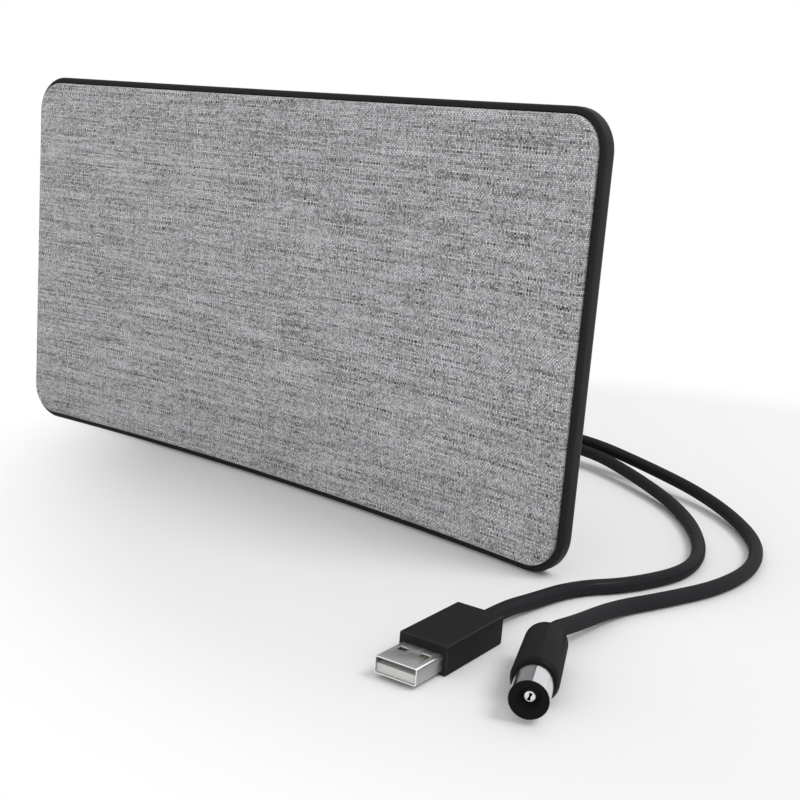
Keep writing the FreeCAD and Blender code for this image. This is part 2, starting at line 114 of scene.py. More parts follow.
def dress(piece, material, replaced):
    piece.data.materials.clear()
    piece.data.materials.append(material)
    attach(piece, "root")
    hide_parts(replaced)


def addFinish(piece, material, test):  # second material on the faces that pass the test
    piece.data.materials.append(material)
    for face in piece.data.polygons:
        if test(face.center, face.normal):
            face.material_index = 1


def startBlock(name, low, high):  # block between two corners
    letGo()
    middle = [(a + b) / 2 for a, b in zip(low, high)]
    bpy.ops.mesh.primitive_cube_add(size=1, location=middle)
    piece = bpy.context.object
    piece.name = name
    piece.scale = [b - a for a, b in zip(low, high)]
    bpy.ops.object.transform_apply(location=True, rotation=True, scale=True)
    return piece


def startRod(name, radius, x, z, front, back, steps=40):  # rod along Y
    letGo()
    bpy.ops.mesh.primitive_cylinder_add(vertices=steps, radius=radius, depth=back - front,
                                        location=(x, (front + back) / 2, z), rotation=(math.pi / 2, 0, 0))
    piece = bpy.context.object
    piece.name = name
    bpy.ops.object.transform_apply(location=True, rotation=True, scale=True)
    return piece


def startPlate(name, width, height, corner, y, middleZ, steps):  # rounded sheet that faces -Y
    letGo()
    bpy.ops.mesh.primitive_plane_add(size=1, location=(0, y, middleZ), rotation=(math.pi / 2, 0, 0))
    piece = bpy.context.object
    piece.name = name
    piece.scale = (width, height, 1)
    bpy.ops.object.transform_apply(location=True, rotation=True, scale=True)
    pickAll(piece, "verts")
    bpy.ops.mesh.bevel(offset=corner, segments=steps, affect="VERTICES")
    closeEdit()
    return piece


def inMetres(rings):
    return [(radius * mm, place * mm) for radius, place in rings]


def turnPiece(name, rings, hollow=False, steps=72):  # (radius, y) rings, pulled and scaled one after another
    letGo()
    radius, place = rings[0]
    bpy.ops.mesh.primitive_circle_add(vertices=steps, radius=radius, fill_type="NOTHING",
                                      location=(0, place, 0), rotation=(math.pi / 2, 0, 0))
    piece = bpy.context.object
    piece.name = name
    bpy.ops.object.transform_apply(location=True, rotation=True, scale=True)
    pickAll(piece, "edges")
    for nextRadius, nextPlace in rings[1:]:
        bpy.ops.mesh.extrude_edges_move(TRANSFORM_OT_translate={"value": (0, nextPlace - place, 0)})
        grow = nextRadius / radius
        bpy.ops.transform.resize(value=(grow, 1, grow), center_override=(0, nextPlace, 0))
        radius, place = nextRadius, nextPlace
    bpy.ops.mesh.select_all(action="SELECT")
    if hollow:
        bpy.ops.mesh.remove_doubles(threshold=tiny)
    else:
        bpy.ops.mesh.fill_holes(sides=0)
    bpy.ops.mesh.select_all(action="SELECT")
    bpy.ops.mesh.normals_make_consistent(inside=False)
    closeEdit()
    return piece


# The panel's curve is one upright cylinder, whose axis is far in front of the cloth
panelCurve = {"radius": 1.051, "axisY": -1.05804968, "middleZ": 0.06985}


def curvedY(depth, x):  # y of a layer that lies depth behind the face of the cloth
    return panelCurve["axisY"] + math.sqrt((panelCurve["radius"] + depth) ** 2 - x ** 2)


def curvePiece(piece, width, cuts):  # cuts a flat piece in upright strips and lays it in the curve
    for number in range(1, cuts):
        pickAll(piece, "faces")
        bpy.ops.mesh.bisect(plane_co=(width * (number / cuts - 0.5), 0, 0), plane_no=(1, 0, 0))
    closeEdit()
    for vert in piece.data.vertices:
        vert.co.y = curvedY(vert.co.y, vert.co.x)


# Camera at the photograph's viewing angle
cameraSet = {"place": (0.3131, -0.3254, 0.1274), "turn": 38.34, "down": 11.888, "roll": 4.59,
             "lens": 56.29, "sensor": 36.0, "nearest": 0.01}


def placeCamera():
    letGo()
    bpy.ops.object.camera_add(location=cameraSet["place"])
    camera = bpy.context.object
    turn = Matrix.Rotation(math.radians(cameraSet["turn"]), 3, "Z")
    down = Matrix.Rotation(math.radians(90 - cameraSet["down"]), 3, "X")
    roll = Matrix.Rotation(math.radians(cameraSet["roll"]), 3, "Z")
    camera.rotation_euler = (turn @ down @ roll).to_euler()
    camera.data.sensor_width = cameraSet["sensor"]
    camera.data.lens = cameraSet["lens"]
    camera.data.clip_start = cameraSet["nearest"]
    bpy.context.scene.camera = camera


placeCamera()
print("camera placed")


def colour(code):  # sRGB hex to linear
    parts = [int(code[at:at + 2], 16) / 255 for at in (1, 3, 5)]
    return [part / 12.92 if part <= 0.04045 else ((part + 0.055) / 1.055) ** 2.4 for part in parts] + [1]


def addNode(tree, kind, links=None, sockets=None, **settings):
    node = tree.nodes.new(kind)
    for name, value in settings.items():
        setattr(node, name, value)
    for name, value in (sockets or {}).items():
        node.inputs[name].default_value = value
    for name, source in (links or {}).items():
        tree.links.new(source, node.inputs[name])
    return node


def startMaterial(name, sockets):
    material = bpy.data.materials.new(name)
    material.use_nodes = True
    shader = material.node_tree.nodes["Principled BSDF"]
    for socket, value in sockets.items():
        shader.inputs[socket].default_value = value
    return material, material.node_tree, shader


noiseSpan = (0.3, 0.7)  # most of a noise texture's values lie between these


def finishSurface(tree, shader, place, pattern, shade, cloudMm, gloss, depthMm):  # tint, gloss and relief
    cloud = addNode(tree, "ShaderNodeTexNoise", {"Vector": place.outputs["Object"]},
                    {"Scale": 1 / (cloudMm * mm), "Detail": 2.0})
    tint = addNode(tree, "ShaderNodeMix", {"Factor": cloud.outputs["Fac"]},
                   {"A": colour(shade[0]), "B": colour(shade[1])}, data_type="RGBA")
    tree.links.new(tint.outputs["Result"], shader.inputs["Base Color"])
    sheen = addNode(tree, "ShaderNodeMapRange", {"Value": pattern.outputs["Fac"]},
                    {"From Min": noiseSpan[0], "From Max": noiseSpan[1],
                     "To Min": gloss[0], "To Max": gloss[1]})
    tree.links.new(sheen.outputs["Result"], shader.inputs["Roughness"])
    relief = addNode(tree, "ShaderNodeBump", {"Height": pattern.outputs["Fac"]},
                     {"Strength": 1.0, "Distance": depthMm * mm})
    tree.links.new(relief.outputs["Normal"], shader.inputs["Normal"])


# Plastics and coatings have a fine even grain and a slightly uneven gloss. An eroded mould's real grain is
# about 0.1 mm and is drawn coarser, so that it shows. Handling or plasticiser can leave a thin glossy film
moulding = {"cloudMm": 18, "smoother": 0.05, "rougher": 0.07, "filmRoughness": 0.14}


def mouldedPlastic(name, shade, grainMm, depthMm, roughness, specular, film=0.0):
    material, tree, shader = startMaterial(name, {
        "Roughness": roughness, "Specular IOR Level": specular,
        "Coat Weight": film, "Coat Roughness": moulding["filmRoughness"]})
    place = addNode(tree, "ShaderNodeTexCoord")
    grain = addNode(tree, "ShaderNodeTexNoise", {"Vector": place.outputs["Object"]},
                    {"Scale": 1 / (grainMm * mm), "Detail": 3.0})
    gloss = (roughness - moulding["smoother"], roughness + moulding["rougher"])
    finishSurface(tree, shader, place, grain, shade, moulding["cloudMm"], gloss, depthMm)
    return material


# housing and carrier: dull black with a fine grain
housingAbs = mouldedPlastic("blackAbsMoulded", ("#252526", "#29292b"), grainMm=0.35, depthMm=0.01,
                            roughness=0.5, specular=0.08)
carrierAbs = mouldedPlastic("blackAbsCarrier", ("#161617", "#1a1a1b"), grainMm=0.6, depthMm=0.01,
                            roughness=0.6, specular=0.15)
# plugs: soft black, paler on the rounded edges as a painted highlight, and darker at the nose
gripPvc = mouldedPlastic("blackPvcOvermould", ("#28282a", "#2c2c2d"), grainMm=0.3, depthMm=0.006,
                         roughness=0.5, specular=0.0, film=0.06)
gripEdgeHighlightPvc = mouldedPlastic("paintedHighlightPvcEdge", ("#303032", "#343436"), grainMm=0.3, depthMm=0.002,
                             roughness=0.45, specular=0.05)
nosePvc = mouldedPlastic("darkerPvcNose", ("#141415", "#171718"), grainMm=0.3, depthMm=0.002,
                         roughness=0.45, specular=0.08)
# leads: satin black from the extruder, with a faint highlight along the top
jacketPvc = mouldedPlastic("blackPvcJacket", ("#27272a", "#2c2c2e"), grainMm=0.5, depthMm=0.008,
                           roughness=0.5, specular=0.0, film=0.09)
# strain reliefs: the dullest black
reliefRubber = mouldedPlastic("blackRubberRelief", ("#1d1d1f", "#222224"), grainMm=0.4, depthMm=0.01,
                              roughness=0.7, specular=0.12)
# inside the plugs: smooth deep black, and pale grey with a soft gloss
insulatorPlastic = mouldedPlastic("blackSmoothInsulator", ("#0e0e10", "#121214"), grainMm=0.5, depthMm=0.002,
                                  roughness=0.4, specular=0.08)
tongueNylon = mouldedPlastic("greyNylonTongue", ("#d6d6d3", "#dededb"), grainMm=0.4, depthMm=0.004,
                             roughness=0.45, specular=0.4)
# inside the housing: matt chip, glossy yellowish film, glossy green board
chipEpoxy = mouldedPlastic("blackEpoxyChip", ("#141415", "#191919"), grainMm=0.2, depthMm=0.005,
                           roughness=0.6, specular=0.3)
filmPolyester = mouldedPlastic("polyesterFilm", ("#c9c3ae", "#d2ccb8"), grainMm=2.0, depthMm=0.002,
                               roughness=0.25, specular=0.5)
boardMask = mouldedPlastic("greenSolderMask", ("#0d4a2a", "#135a34"), grainMm=1.2, depthMm=0.003,
                           roughness=0.3, specular=0.5)


# Plated and bare metals have fine drawing marks and a little tarnish. The marks are drawn coarser than real
# ones, so that they show
plating = {"cloudMm": 4, "smoother": 0.8, "rougher": 1.25}


def platedMetal(name, shade, roughness, lineMm, stretch, depthMm):
    material, tree, shader = startMaterial(name, {"Metallic": 1.0, "Roughness": roughness})
    place = addNode(tree, "ShaderNodeTexCoord")
    along = addNode(tree, "ShaderNodeMapping", {"Vector": place.outputs["Object"]}, {"Scale": stretch})
    lines = addNode(tree, "ShaderNodeTexNoise", {"Vector": along.outputs["Vector"]},
                    {"Scale": 1 / (lineMm * mm), "Detail": 4.0})
    gloss = (roughness * plating["smoother"], roughness * plating["rougher"])
    finishSurface(tree, shader, place, lines, shade, plating["cloudMm"], gloss, depthMm)
    return material


# USB shell: satin grey flats, and folds painted brighter as a highlight
shellNickel = platedMetal("satinNickelSteel", ("#b4b4b3", "#b8b8b7"), roughness=0.42, lineMm=1.5,
                          stretch=(1, 0.3, 1), depthMm=0.0001)
edgeHighlightNickel = platedMetal("paintedHighlightNickelEdge", ("#f0f0f0", "#f4f4f4"), roughness=0.25, lineMm=1.5,
                         stretch=(1, 0.3, 1), depthMm=0.0001)
# coaxial plug: mirror-like sleeve, softer bright contact, slot walls painted dark as shade
sleeveNickel = platedMetal("brightNickelSleeve", ("#d0d0d2", "#d5d5d7"), roughness=0.16, lineMm=1.5,
                           stretch=(1, 0.3, 1), depthMm=0.0001)
contactNickel = platedMetal("brightNickelContact", ("#e6e6e6", "#eeeeee"), roughness=0.3, lineMm=0.4,
                            stretch=(1, 1, 1), depthMm=0.0002)
slotShadeNickel = platedMetal("paintedShadeSlot", ("#1c1c1c", "#242424"), roughness=0.6, lineMm=0.4,
                         stretch=(1, 1, 1), depthMm=0.0005)
# gold, copper and tin: warm or grey metal with drawn lines
contactGold = platedMetal("goldPlatedContact", ("#c8a24a", "#d8b560"), roughness=0.25, lineMm=0.3,
                          stretch=(1, 0.2, 1), depthMm=0.0005)
foilCopper = platedMetal("bareCopperFoil", ("#b5714d", "#c4825c"), roughness=0.35, lineMm=0.4,
                         stretch=(0.2, 1, 1), depthMm=0.001)
tinPlate = platedMetal("tinPlatedSteel", ("#a5a7a8", "#b3b5b6"), roughness=0.35, lineMm=0.4,
                       stretch=(0.2, 1, 1), depthMm=0.001)
# screws: oil-blackened, only just metallic
screwSteel = platedMetal("blackenedSteel", ("#2c2c2e", "#38383a"), roughness=0.4, lineMm=0.3,
                         stretch=(1, 1, 1), depthMm=0.001)


# Melange polyester in a plain weave. The yarns are spun from light and dark fibres, so the eye sees short
# flecks, and long thin streaks along the weft
weave = {"yarnMm": 0.6, "depthMm": 0.16, "relief": 0.6, "light": "#f0f0f3", "dark": "#161618",
         "roughness": 0.9, "specular": 0.15, "sheen": 0.1, "sheenRoughness": 0.6,
         "uneven": {"X": 2.0, "Y": 0.7}, "unevenRate": 1 / 8,
         "fleckRate": 0.8, "weftShift": 0.37, "warpShift": 0.41, "weftContrast": 0.58, "warpContrast": 0.54,
         "poreEdge": 0.45, "poreShade": 0.4}
# Streaks: waves per yarn width, step from yarn to yarn in the noise, and the tones that its span gives
slubs = {"rate": 1 / 8, "step": 7.31, "detail": 3.0, "rough": 0.65, "span": noiseSpan,
         "tone": (-0.22, 0.34)}
weftStreaks = {"rate": 1 / 40, "step": 3.73, "detail": 0.0, "rough": 0.5, "span": (0.25, 0.75),
               "tone": (-0.06, 0.68)}
warpStreaks = {"rate": 1 / 40, "step": 5.17, "detail": 2.0, "rough": 0.6, "span": noiseSpan,
               "tone": (0.1, 0.38)}


def yarnFlecks(tree, along, yarn, shift, alongAxis, yarnAxis):  # each yarn has its own row of short lengths
    offset = addNode(tree, "ShaderNodeMath", {0: yarn}, {1: shift}, operation="MULTIPLY")
    run = addNode(tree, "ShaderNodeMath", {0: along, 2: offset.outputs[0]}, {1: weave["fleckRate"]},
                  operation="MULTIPLY_ADD")
    step = addNode(tree, "ShaderNodeMath", {0: run.outputs[0]}, operation="FLOOR")
    cell = addNode(tree, "ShaderNodeCombineXYZ", {alongAxis: step.outputs[0], yarnAxis: yarn})
    fleck = addNode(tree, "ShaderNodeTexWhiteNoise", {"Vector": cell.outputs[0]}, noise_dimensions="2D")
    return fleck.outputs["Value"]


def yarnStreaks(tree, along, yarn, streak, alongAxis, yarnAxis):
    run = addNode(tree, "ShaderNodeMath", {0: along}, {1: streak["rate"]}, operation="MULTIPLY")
    row = addNode(tree, "ShaderNodeMath", {0: yarn}, {1: streak["step"]}, operation="MULTIPLY")
    line = addNode(tree, "ShaderNodeCombineXYZ", {alongAxis: run.outputs[0], yarnAxis: row.outputs[0]})
    noise = addNode(tree, "ShaderNodeTexNoise", {"Vector": line.outputs[0]},
                    {"Scale": 1.0, "Detail": streak["detail"], "Roughness": streak["rough"]})
    tone = addNode(tree, "ShaderNodeMapRange", {"Value": noise.outputs["Fac"]},
                   {"From Min": streak["span"][0], "From Max": streak["span"][1],
                    "To Min": streak["tone"][0], "To Max": streak["tone"][1]})
    return tone.outputs["Result"]


def melangeCloth():
    material, tree, shader = startMaterial("greyMelangeWeave", {
        "Roughness": weave["roughness"], "Specular IOR Level": weave["specular"],
        "Sheen Weight": weave["sheen"], "Sheen Roughness": weave["sheenRoughness"]})
    flat = addNode(tree, "ShaderNodeUVMap", uv_map="clothFlat")
    yarns = addNode(tree, "ShaderNodeVectorMath", {0: flat.outputs["UV"]},
                    {"Scale": 1 / (weave["yarnMm"] * mm)}, operation="SCALE")
    even = addNode(tree, "ShaderNodeSeparateXYZ", {0: yarns.outputs[0]})
    axes = {}
    for axis, amount in weave["uneven"].items():  # the yarns don't lie at quite even distances
        spacing = addNode(tree, "ShaderNodeTexNoise", {"W": even.outputs[axis]},
                          {"Scale": weave["unevenRate"], "Detail": 1.0}, noise_dimensions="1D")
        moved = addNode(tree, "ShaderNodeMath", {0: spacing.outputs["Fac"], 2: even.outputs[axis]},
                        {1: amount}, operation="MULTIPLY_ADD")
        axes[axis] = moved.outputs[0]
    x, y = axes["X"], axes["Y"]
    warp = addNode(tree, "ShaderNodeMath", {0: x}, operation="FLOOR").outputs[0]
    weft = addNode(tree, "ShaderNodeMath", {0: y}, operation="FLOOR").outputs[0]
    both = addNode(tree, "ShaderNodeMath", {0: warp, 1: weft}, operation="ADD")
    weftOver = addNode(tree, "ShaderNodeMath", {0: both.outputs[0]}, {1: 2.0}, operation="FLOORED_MODULO")
    # tones of the weft with its slubs and streaks, and of the more even warp
    weftSlubs = yarnStreaks(tree, x, weft, slubs, "X", "Y")
    weftLong = yarnStreaks(tree, x, weft, weftStreaks, "X", "Y")
    weftBase = addNode(tree, "ShaderNodeMath", {0: weftSlubs, 1: weftLong}, operation="ADD")
    weftFlecks = yarnFlecks(tree, x, weft, weave["weftShift"], "X", "Y")
    weftTone = addNode(tree, "ShaderNodeMath", {0: weftFlecks, 2: weftBase.outputs[0]},
                       {1: weave["weftContrast"]}, operation="MULTIPLY_ADD")
    warpBase = yarnStreaks(tree, y, warp, warpStreaks, "Y", "X")
    warpFlecks = yarnFlecks(tree, y, warp, weave["warpShift"], "Y", "X")
    warpTone = addNode(tree, "ShaderNodeMath", {0: warpFlecks, 2: warpBase},
                       {1: weave["warpContrast"]}, operation="MULTIPLY_ADD")
    tone = addNode(tree, "ShaderNodeMix", {"Factor": weftOver.outputs[0], "A": warpTone.outputs[0],
                                           "B": weftTone.outputs[0]})
    # crown of each yarn where it lies on top, and painted shade that darkens the tone towards the pores
    # between
    waves = []
    for axis in (x, y):
        angle = addNode(tree, "ShaderNodeMath", {0: axis}, {1: math.pi}, operation="MULTIPLY")
        wave = addNode(tree, "ShaderNodeMath", {0: angle.outputs[0]}, operation="SINE")
        waves.append(wave.outputs[0])
    crossed = addNode(tree, "ShaderNodeMath", {0: waves[0], 1: waves[1]}, operation="MULTIPLY")
    crown = addNode(tree, "ShaderNodeMath", {0: crossed.outputs[0]}, operation="ABSOLUTE")
    pore = addNode(tree, "ShaderNodeMapRange", {"Value": crown.outputs[0]},
                   {"From Min": 0.0, "From Max": weave["poreEdge"],
                    "To Min": weave["poreShade"], "To Max": 1.0})
    shaded = addNode(tree, "ShaderNodeMath", {0: tone.outputs[0], 1: pore.outputs["Result"]},
                     operation="MULTIPLY")
    dye = addNode(tree, "ShaderNodeMix", {"Factor": shaded.outputs[0]},
                  {"A": colour(weave["dark"]), "B": colour(weave["light"])}, data_type="RGBA")
    tree.links.new(dye.outputs["Result"], shader.inputs["Base Color"])
    relief = addNode(tree, "ShaderNodeBump", {"Height": crown.outputs[0]},
                     {"Strength": weave["relief"], "Distance": weave["depthMm"] * mm})
    tree.links.new(relief.outputs["Normal"], shader.inputs["Normal"])
    return material


clothMaterial = melangeCloth()
print("materials made")


# The two leads run on the solids' points. Some are moved a little to follow the photo: along the line of
# sight behind the panel, and by the plugs. The passes are in mm. The tail is where a lead leaves its plug, in
# the plug's own axes, and straight is how far it then runs on
leads = {"diameter": 4.6 * mm, "startY": 4.75 * mm, "exitY": 33.95 * mm, "exitZ": 16 * mm,
         "smoothness": 12, "roundness": 6}
usbRoute = {"name": "usbLead", "x": 8 * mm, "length": 0.3682, "plugAt": (0.143, -0.0936, 0),
            "plugTurn": 5.5, "tailY": 28 * mm, "tailZ": 4 * mm, "straight": 13 * mm,
            "passes": [(9, 64, 11), (18, 91, 8.2), (40, 113, 7.3), (64.2, 118.2, 6.7), (92.4, 105, 4.8),
                       (123.6, 84.2, 2.5), (146.5, 53.4, 2.3), (156.8, 25.4, 2.3), (150.7, -2.2, 2.3),
                       (140.4, -18.6, 2.3), (138.6, -39.3, 2.6)]}
coaxRoute = {"name": "coaxLead", "x": -8 * mm, "length": 0.4143, "plugAt": (0.17775, -0.0992, 0.00595),
             "plugTurn": 26.3, "tailY": 36.6 * mm, "tailZ": 0, "straight": 7 * mm,
             "passes": [(-7.5, 64, 12), (0, 96, 10.3), (24, 119.5, 9.6), (58, 124.8, 9.3), (90.4, 115, 7.4),
                        (123.6, 104.3, 4.2), (154.5, 77.5, 2.4), (168.3, 48.4, 2.3), (169.9, 19.7, 2.3),
                        (162.7, -6.8, 2.3), (157.1, -23.9, 2.5), (159, -48.8, 5)]}


def plugPlace(route):
    turn = Matrix.Rotation(math.radians(route["plugTurn"]), 4, "Z")
    return Matrix.Translation(route["plugAt"]) @ turn


def layLead(route, plug):
    letGo()
    tailY, tailZ = route["tailY"], route["tailZ"]
    points = [Vector((route["x"], leads["startY"], leads["exitZ"])),
              Vector((route["x"], leads["exitY"], leads["exitZ"]))]
    points += [Vector(place) * mm for place in route["passes"]]
    points += [plug @ Vector((0, tailY + route["straight"], tailZ)), plug @ Vector((0, tailY, tailZ))]
    curve = bpy.data.curves.new(route["name"], "CURVE")
    curve.dimensions = "3D"
    spline = curve.splines.new("NURBS")
    spline.points.add(len(points) - 1)
    for point, place in zip(spline.points, points):
        point.co = (*place, 1)
    spline.order_u = 3
    spline.use_endpoint_u = True
    spline.resolution_u = leads["smoothness"]
    curve.bevel_depth = leads["diameter"] / 2
    curve.bevel_resolution = leads["roundness"]
    curve.use_fill_caps = True
    piece = bpy.data.objects.new(route["name"], curve)
    bpy.context.collection.objects.link(piece)
    return piece


usbPlace = plugPlace(usbRoute)
coaxPlace = plugPlace(coaxRoute)
usbLead = layLead(usbRoute, usbPlace)
coaxLead = layLead(coaxRoute, coaxPlace)
dress(usbLead, jacketPvc, "usb_cord")
dress(coaxLead, jacketPvc, "coax_cord")
print("leads laid")


# Cloth front: cut larger than the plate, pulled over it and folded behind its edge
cloth = {"width": 259.8 * mm, "height": 135 * mm, "corner": 10.6 * mm, "cornerSteps": 12, "edge": 1.2 * mm,
         "edgeSteps": 5, "side": 3.4 * mm, "fold": 7 * mm, "thickness": 0.7 * mm, "strips": 60}


def makeCloth():
    piece = startPlate("frontCloth", cloth["width"], cloth["height"], cloth["corner"], 0,
                       panelCurve["middleZ"], cloth["cornerSteps"])
    pickAll(piece, "faces")
    pushOut(0, cloth["side"], 0)
    faceOutwards(piece)
    pick(piece, "faces", lambda centre, normal: normal.y > 0.9)
    bpy.ops.mesh.inset(thickness=cloth["fold"])
    bpy.ops.mesh.delete(type="FACE")
    pick(piece, "edges", lambda a, b: max(a.y, b.y) < tiny)
    bpy.ops.mesh.bevel(offset=cloth["edge"], segments=cloth["edgeSteps"], affect="EDGES")
    closeEdit()
    layFlat(piece)
    curvePiece(piece, cloth["width"], cloth["strips"])
    useModifier(piece, "SOLIDIFY", thickness=cloth["thickness"], offset=-1)
    smooth(piece, 50)
    return piece


def layFlat(piece):  # the cloth's own measure, in metres: the sides and the fold lie beside the front
    flat = piece.data.uv_layers.new(name="clothFlat")
    coreX = cloth["width"] / 2 - cloth["corner"]
    coreZ = cloth["height"] / 2 - cloth["corner"]
    for loop in piece.data.loops:
        point = piece.data.vertices[loop.vertex_index].co
        x, z = point.x, point.z - panelCurve["middleZ"]
        outX = x - max(-coreX, min(coreX, x))
        outZ = z - max(-coreZ, min(coreZ, z))
        reach = math.hypot(outX, outZ)
        along = point.y / reach if reach > tiny else 0
        flat.data[loop.index].uv = (x + outX * along, z + outZ * along)


frontCloth = makeCloth()
dress(frontCloth, clothMaterial, "front_fabric")
print("cloth pulled over")


# Housing: rim, pocket for the cloth-covered plate, foot, screw wells
housing = {"width": 264.5 * mm, "height": 139.7 * mm, "corner": 12.95 * mm, "cornerSteps": 12,
           "rim": 2.1 * mm, "back": 9 * mm, "rimRound": 1.1 * mm, "rimSteps": 4, "backRound": 3 * mm,
           "backSteps": 8, "border": 2.0 * mm, "pocket": 3.4 * mm, "ledge": 2.85 * mm, "inner": 7.2 * mm,
           "strips": 60}
foot = {"width": 118 * mm, "height": 50 * mm, "backHeight": 33 * mm, "backY": 14.95 * mm, "round": 6 * mm,
        "roundSteps": 7, "wall": 2 * mm, "rootDepth": 5 * mm, "hollowDepth": 5.2 * mm,
        "leadHole": 3.7 * mm, "holeFront": 4 * mm, "holeBack": 2 * mm, "slack": 0.1 * mm}
screws = {"places": [(-112.9, 17.35), (112.9, 17.35), (-112.9, 122.35), (0, 122.35), (112.9, 122.35)],
          "bossDepth": 5.2 * mm, "bossBack": 8.1 * mm, "bossSide": 2.2 * mm, "boss": 4.0 * mm,
          "web": 1.4 * mm, "well": 2.5 * mm, "wellReach": 20 * mm, "holeReach": 5 * mm, "overcut": 1 * mm,
          "shank": 1.15 * mm, "play": 0.05 * mm, "shankLength": 3.9 * mm, "head": 2.2 * mm,
          "headHeight": 1.6 * mm, "rimShare": 0.35, "crown": (15, 30, 45, 60, 75, 85),
          "crossLong": 1.32 * mm, "crossWide": 0.35 * mm, "crossDepth": 0.8 * mm, "turn": 37}


def makeFoot(name, wall, front, rounding):
    side = foot["width"] / 2 - wall
    block = startBlock(name, (-side, front, wall), (side, foot["backY"] - wall, foot["height"] - wall))
    slopeY = curvedY(housing["back"], 0)

    def standsOut(a, b):
        middle = (a + b) / 2
        return middle.y > slopeY + foot["slack"] and middle.z > wall + foot["slack"]

    pickAll(block, "faces")
    bpy.ops.mesh.bisect(plane_co=(0, slopeY, 0), plane_no=(0, 1, 0))
    pick(block, "verts", lambda point: point.y > slopeY + mm and point.z > foot["backHeight"])
    bpy.ops.transform.translate(value=(0, 0, foot["backHeight"] - foot["height"]))
    pick(block, "edges", standsOut)
    bpy.ops.mesh.bevel(offset=rounding, segments=foot["roundSteps"], affect="EDGES", clamp_overlap=True)
    closeEdit()
    faceOutwards(block)
    return block


def makeHousing():
    piece = startPlate("housingShell", housing["width"], housing["height"], housing["corner"], housing["rim"],
                       panelCurve["middleZ"], housing["cornerSteps"])
    pickAll(piece, "faces")
    pushOut(0, housing["back"] - housing["rim"], 0)
    faceOutwards(piece)
    pick(piece, "edges", lambda a, b: min(a.y, b.y) > housing["back"] - tiny)
    bpy.ops.mesh.bevel(offset=housing["backRound"], segments=housing["backSteps"], affect="EDGES")
    pick(piece, "edges", lambda a, b: max(a.y, b.y) < housing["rim"] + tiny)
    bpy.ops.mesh.bevel(offset=housing["rimRound"], segments=housing["rimSteps"], affect="EDGES")
    pick(piece, "faces", lambda centre, normal: normal.y < -0.99)
    bpy.ops.mesh.inset(thickness=housing["border"] - housing["rimRound"])
    pushOut(0, housing["pocket"] - housing["rim"], 0)
    bpy.ops.mesh.inset(thickness=housing["ledge"])
    pushOut(0, housing["inner"] - housing["pocket"], 0)
    closeEdit()
    curvePiece(piece, housing["width"], housing["strips"])
    faceOutwards(piece)
    addFoot(piece)
    for x, z in screws["places"]:
        addWell(piece, x * mm, z * mm)
    for route in (coaxRoute, usbRoute):
        hole = startRod("leadHole", foot["leadHole"], route["x"], leads["exitZ"],
                        foot["backY"] - foot["holeFront"], foot["backY"] + foot["holeBack"])
        combine(piece, hole, "DIFFERENCE")
    smooth(piece, 32)
    return piece


def addFoot(piece):
    outer = makeFoot("footOuter", 0, curvedY(foot["rootDepth"], 0), foot["round"])
    combine(piece, outer, "UNION")
    inner = makeFoot("footInner", foot["wall"], curvedY(foot["hollowDepth"], 0), foot["round"] - foot["wall"])
    combine(piece, inner, "DIFFERENCE")


def addWell(piece, x, z):  # boss inside, well from behind, hole for the screw
    web = curvedY(screws["bossDepth"], x)
    floor = web + screws["web"]
    bossBack = curvedY(screws["bossBack"], abs(x) + screws["bossSide"])
    combine(piece, startRod("boss", screws["boss"], x, z, web, bossBack), "UNION")
    combine(piece, startRod("well", screws["well"], x, z, floor, floor + screws["wellReach"]), "DIFFERENCE")
    hole = startRod("hole", screws["shank"], x, z, web - screws["holeReach"], floor + screws["overcut"],
                    steps=24)
    combine(piece, hole, "DIFFERENCE")


housingShell = makeHousing()
dress(housingShell, housingAbs, "rear_housing")
print("housing moulded")


# Pan-head screws in the wells
def makeScrews():
    head, height, shank = screws["head"], screws["headHeight"], screws["shank"] - screws["play"]
    rings = [(shank, -screws["shankLength"]), (shank, 0), (head, 0)]
    for degrees in screws["crown"]:
        turn = math.radians(degrees)
        rise = screws["rimShare"] + (1 - screws["rimShare"]) * math.sin(turn)
        rings.append((head * math.cos(turn), height * rise))
    first = turnPiece("housingScrews", rings, steps=40)
    long, wide = screws["crossLong"], screws["crossWide"]
    for halfX, halfZ in ((long, wide), (wide, long)):
        cross = startBlock("cross", (-halfX, height - screws["crossDepth"], -halfZ),
                           (halfX, height + screws["overcut"], halfZ))
        combine(first, cross, "DIFFERENCE")
    copies = [first]
    while len(copies) < len(screws["places"]):
        workOn(first)
        bpy.ops.object.duplicate()
        copies.append(bpy.context.object)
    for number, (piece, (x, z)) in enumerate(zip(copies, screws["places"])):
        seat = curvedY(screws["bossDepth"], x * mm) + screws["web"]
        place = Matrix.Translation((x * mm, seat, z * mm))
        moveInto(piece, place @ Matrix.Rotation(math.radians(screws["turn"] * number), 4, "Y"))
    letGo()
    for piece in copies:
        piece.select_set(True)
    bpy.context.view_layer.objects.active = first
    bpy.ops.object.join()
    smooth(first, 35)
    return first


housingScrews = makeScrews()
dress(housingScrews, screwSteel, "housing_screws")


# Strain reliefs, in mm: flanged in the wall, tail ringed by grooves so that it bends
relief = {"bore": 2.35, "flange": 5.2, "neck": 3.7, "root": 4.2, "tip": 3.0, "wall": 2.0, "flangeThick": 1.5,
          "flangeFoot": 0.3, "flangeRound": 0.4, "length": 13.0, "tipRound": 0.3,
          "groove": 0.7, "grooves": 4, "grooveSlope": 0.08}


